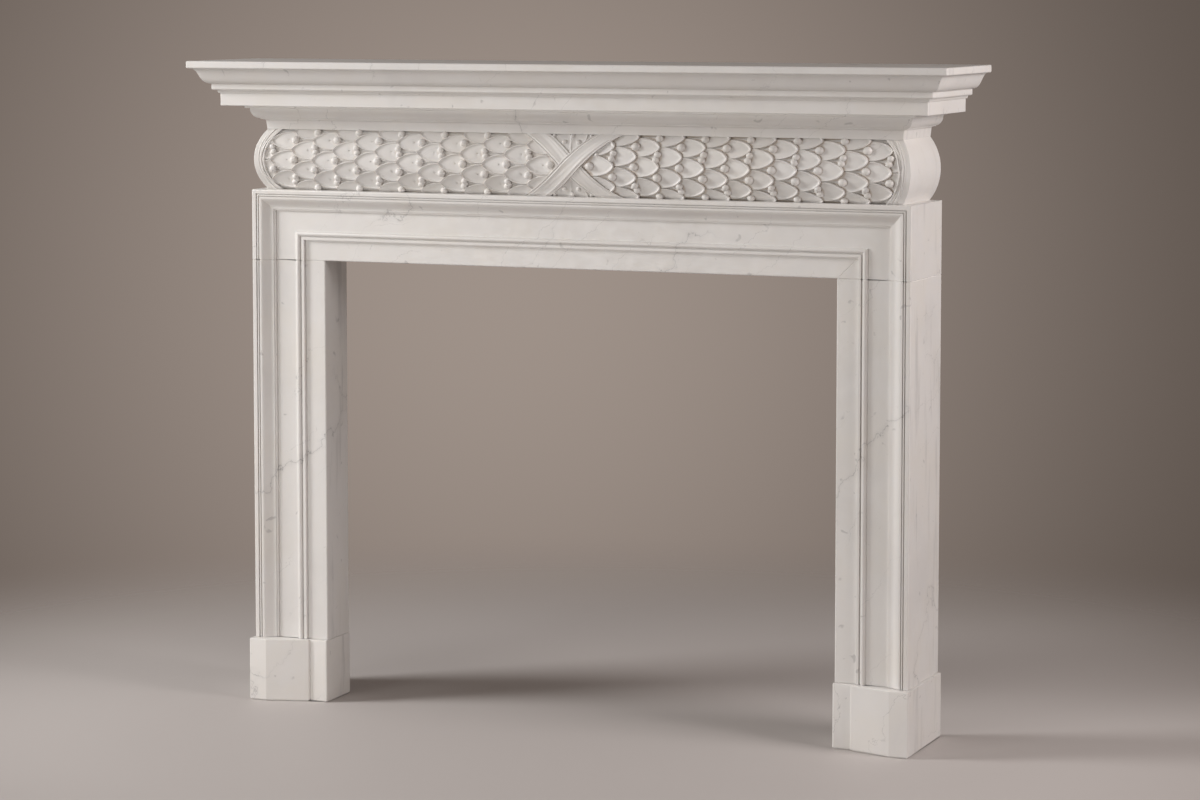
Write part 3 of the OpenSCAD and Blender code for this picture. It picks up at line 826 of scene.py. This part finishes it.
# Plain ground in the wedges above and below the crossing of the ribbons
def wedgeGround():
    t = np.linspace(-arcHalf - 1, arcHalf + 1, 60)[:, None]
    q = np.linspace(-1, 1, 9)[None]
    x = ribbonX(np.abs(t)) * q + 3 * q
    return shells(onFrieze(x, t, 2.6)[None], onFrieze(x[:, [0, -1]], t, -1.5)[None])


# Tips and rows of the leaves of one half: every other row lies half a pitch back
def leafGrid():
    row, n = np.meshgrid(np.arange(-3, 4), np.arange(-1, 9), indexing="ij")
    tips = frieze["lastTip"] - (n + 0.5 * (row % 2)) * frieze["leafPitch"] + frieze["leafPitch"]
    edge = innerEdge(np.where(np.abs(row) < 3, row * frieze["leafRow"], arcHalf))
    shown = (tips > ribbonX(np.abs(row) * frieze["leafRow"]) + 36) & (tips < edge + 62)
    return tips[shown], row[shown]


# Spots of the berries past the tips, in both halves, as x, t, level, radius, turn and squash; two
# rows have pairs, one of them with a third
def berrySpots(tips, rows):
    near = tips < 150                                  # by the ribbon, one more berry a pitch nearer
    x = np.concatenate([tips, tips[near] - frieze["leafPitch"]]) + frieze["berryGap"]
    rows = np.concatenate([rows, rows[near]])
    t = rows * frieze["leafRow"]
    shown = (x < innerEdge(t) - 6) & (x > ribbonX(np.abs(t)) + frieze["ribbon"][0] + 3)
    t = np.clip(t, -frieze["berryTop"], frieze["berryTop"])
    spots = []
    for side, facing in ((1, 0.0), (-1, math.pi)):
        for x0, row, t0 in zip(x[shown], rows[shown], t[shown]):
            wobble = random.normal(0, 0.5, 3)
            if row in (1, -2):
                lean = math.copysign(frieze["twinLean"], row)
                for part in (-1, 1):
                    spots.append((side * (x0 + lean * part + wobble[0]), t0 + 5.0 * part + wobble[1],
                                  3.3, frieze["twin"], facing + 0.35 * part * side, 0.95))
                if row == -2:
                    spots.append((side * (x0 - 4.5), t0 + wobble[2], 3.6, frieze["third"], facing, 1.0))
            else:
                radius = frieze["berry"] * (1 + 0.03 * wobble[2]) - (0.7 if abs(row) == 3 else 0)
                spots.append((side * (x0 + wobble[0]), t0 + wobble[1], 3.0, radius, facing, 1.0))
    return spots


# Spots of the berries round the crossing of the ribbons
def motifSpots():
    spots = [(55, 22, 3.0, 4.5, 0.0, 1.0)]
    for x, t, r in frieze["motifBerries"]:
        for end in (1, -1):
            spots += [(x, end * t, 3.0, r, 0.0, 1.0), (-x, end * t, 3.0, r, math.pi, 1.0)]
    return spots + [(0, end * 58, 2.6, 6.0, -end * math.pi / 2, 0.8) for end in (1, -1)]


# The carved frieze as a block with bindings, leaves, berries, and ribbons with stems
def friezePieces(material):
    finishMesh("friezeBlock", *friezeBody(), "frieze", material, 40)
    tips, rows = leafGrid()
    right, left = leaves(tips, rows, False), leaves(tips, rows, True)
    finishMesh("friezeLeaves", *joined([right[:2], left[:2]]), "frieze", material, 38,
               leafPlace=np.concatenate([right[2], left[2]]))
    print("leaves", 2 * len(tips))
    spots = berrySpots(tips, rows) + motifSpots()
    finishMesh("friezeBerries", *berries(spots), "frieze", material, 40)
    print("berries", len(spots))
    stemmed = tips + frieze["berryGap"] < innerEdge(rows * frieze["leafRow"]) + 10
    parts = [stems(tips[stemmed], rows[stemmed], mirrored) for mirrored in (False, True)]
    parts += [ribbon(-1, 5.6, 7.4), ribbon(1, 8.6, 7.8)]
    parts += [smallLeaf((side * 1.5, end * 24), (side * 24, end * 72), 13.5, 5.4, 3.2)
              for end in (1, -1) for side in (1, -1)]
    finishMesh("friezeRibbons", *joined(parts + [wedgeGround()]), "frieze", material, 38)


jamb("jamb_left", -1, plinthTop, openingTop, marble("marbleJambLeft", (0.3, 0.1, 0.2)))
jamb("jamb_right", 1, plinthTop, openingTop, marble("marbleJambRight", (1.9, 0.4, 3.1)))
head(marble("marbleHead", (5.2, 1.1, 0.7)))
print("architrave made")
plinthBlock("plinth_left", -1, marble("marblePlinthLeft", (7.1, 2.0, 1.3)))
plinthBlock("plinth_right", 1, marble("marblePlinthRight", (3.3, 5.0, 2.3)))
cornice("shelf", shelfOutline(shelf), marble("marbleShelf", (2.4, 7.7, 5.3)), corner=2.0)
cornice("bed_mould", bedOutline(bed), marble("marbleBed", (9.2, 3.1, 0.3)))
print("plinths, shelf and bed mould made")
friezePieces(marble("marbleFrieze", (4.4, 6.2, 8.1), veins=0.4, carving=frieze))
print("frieze made")
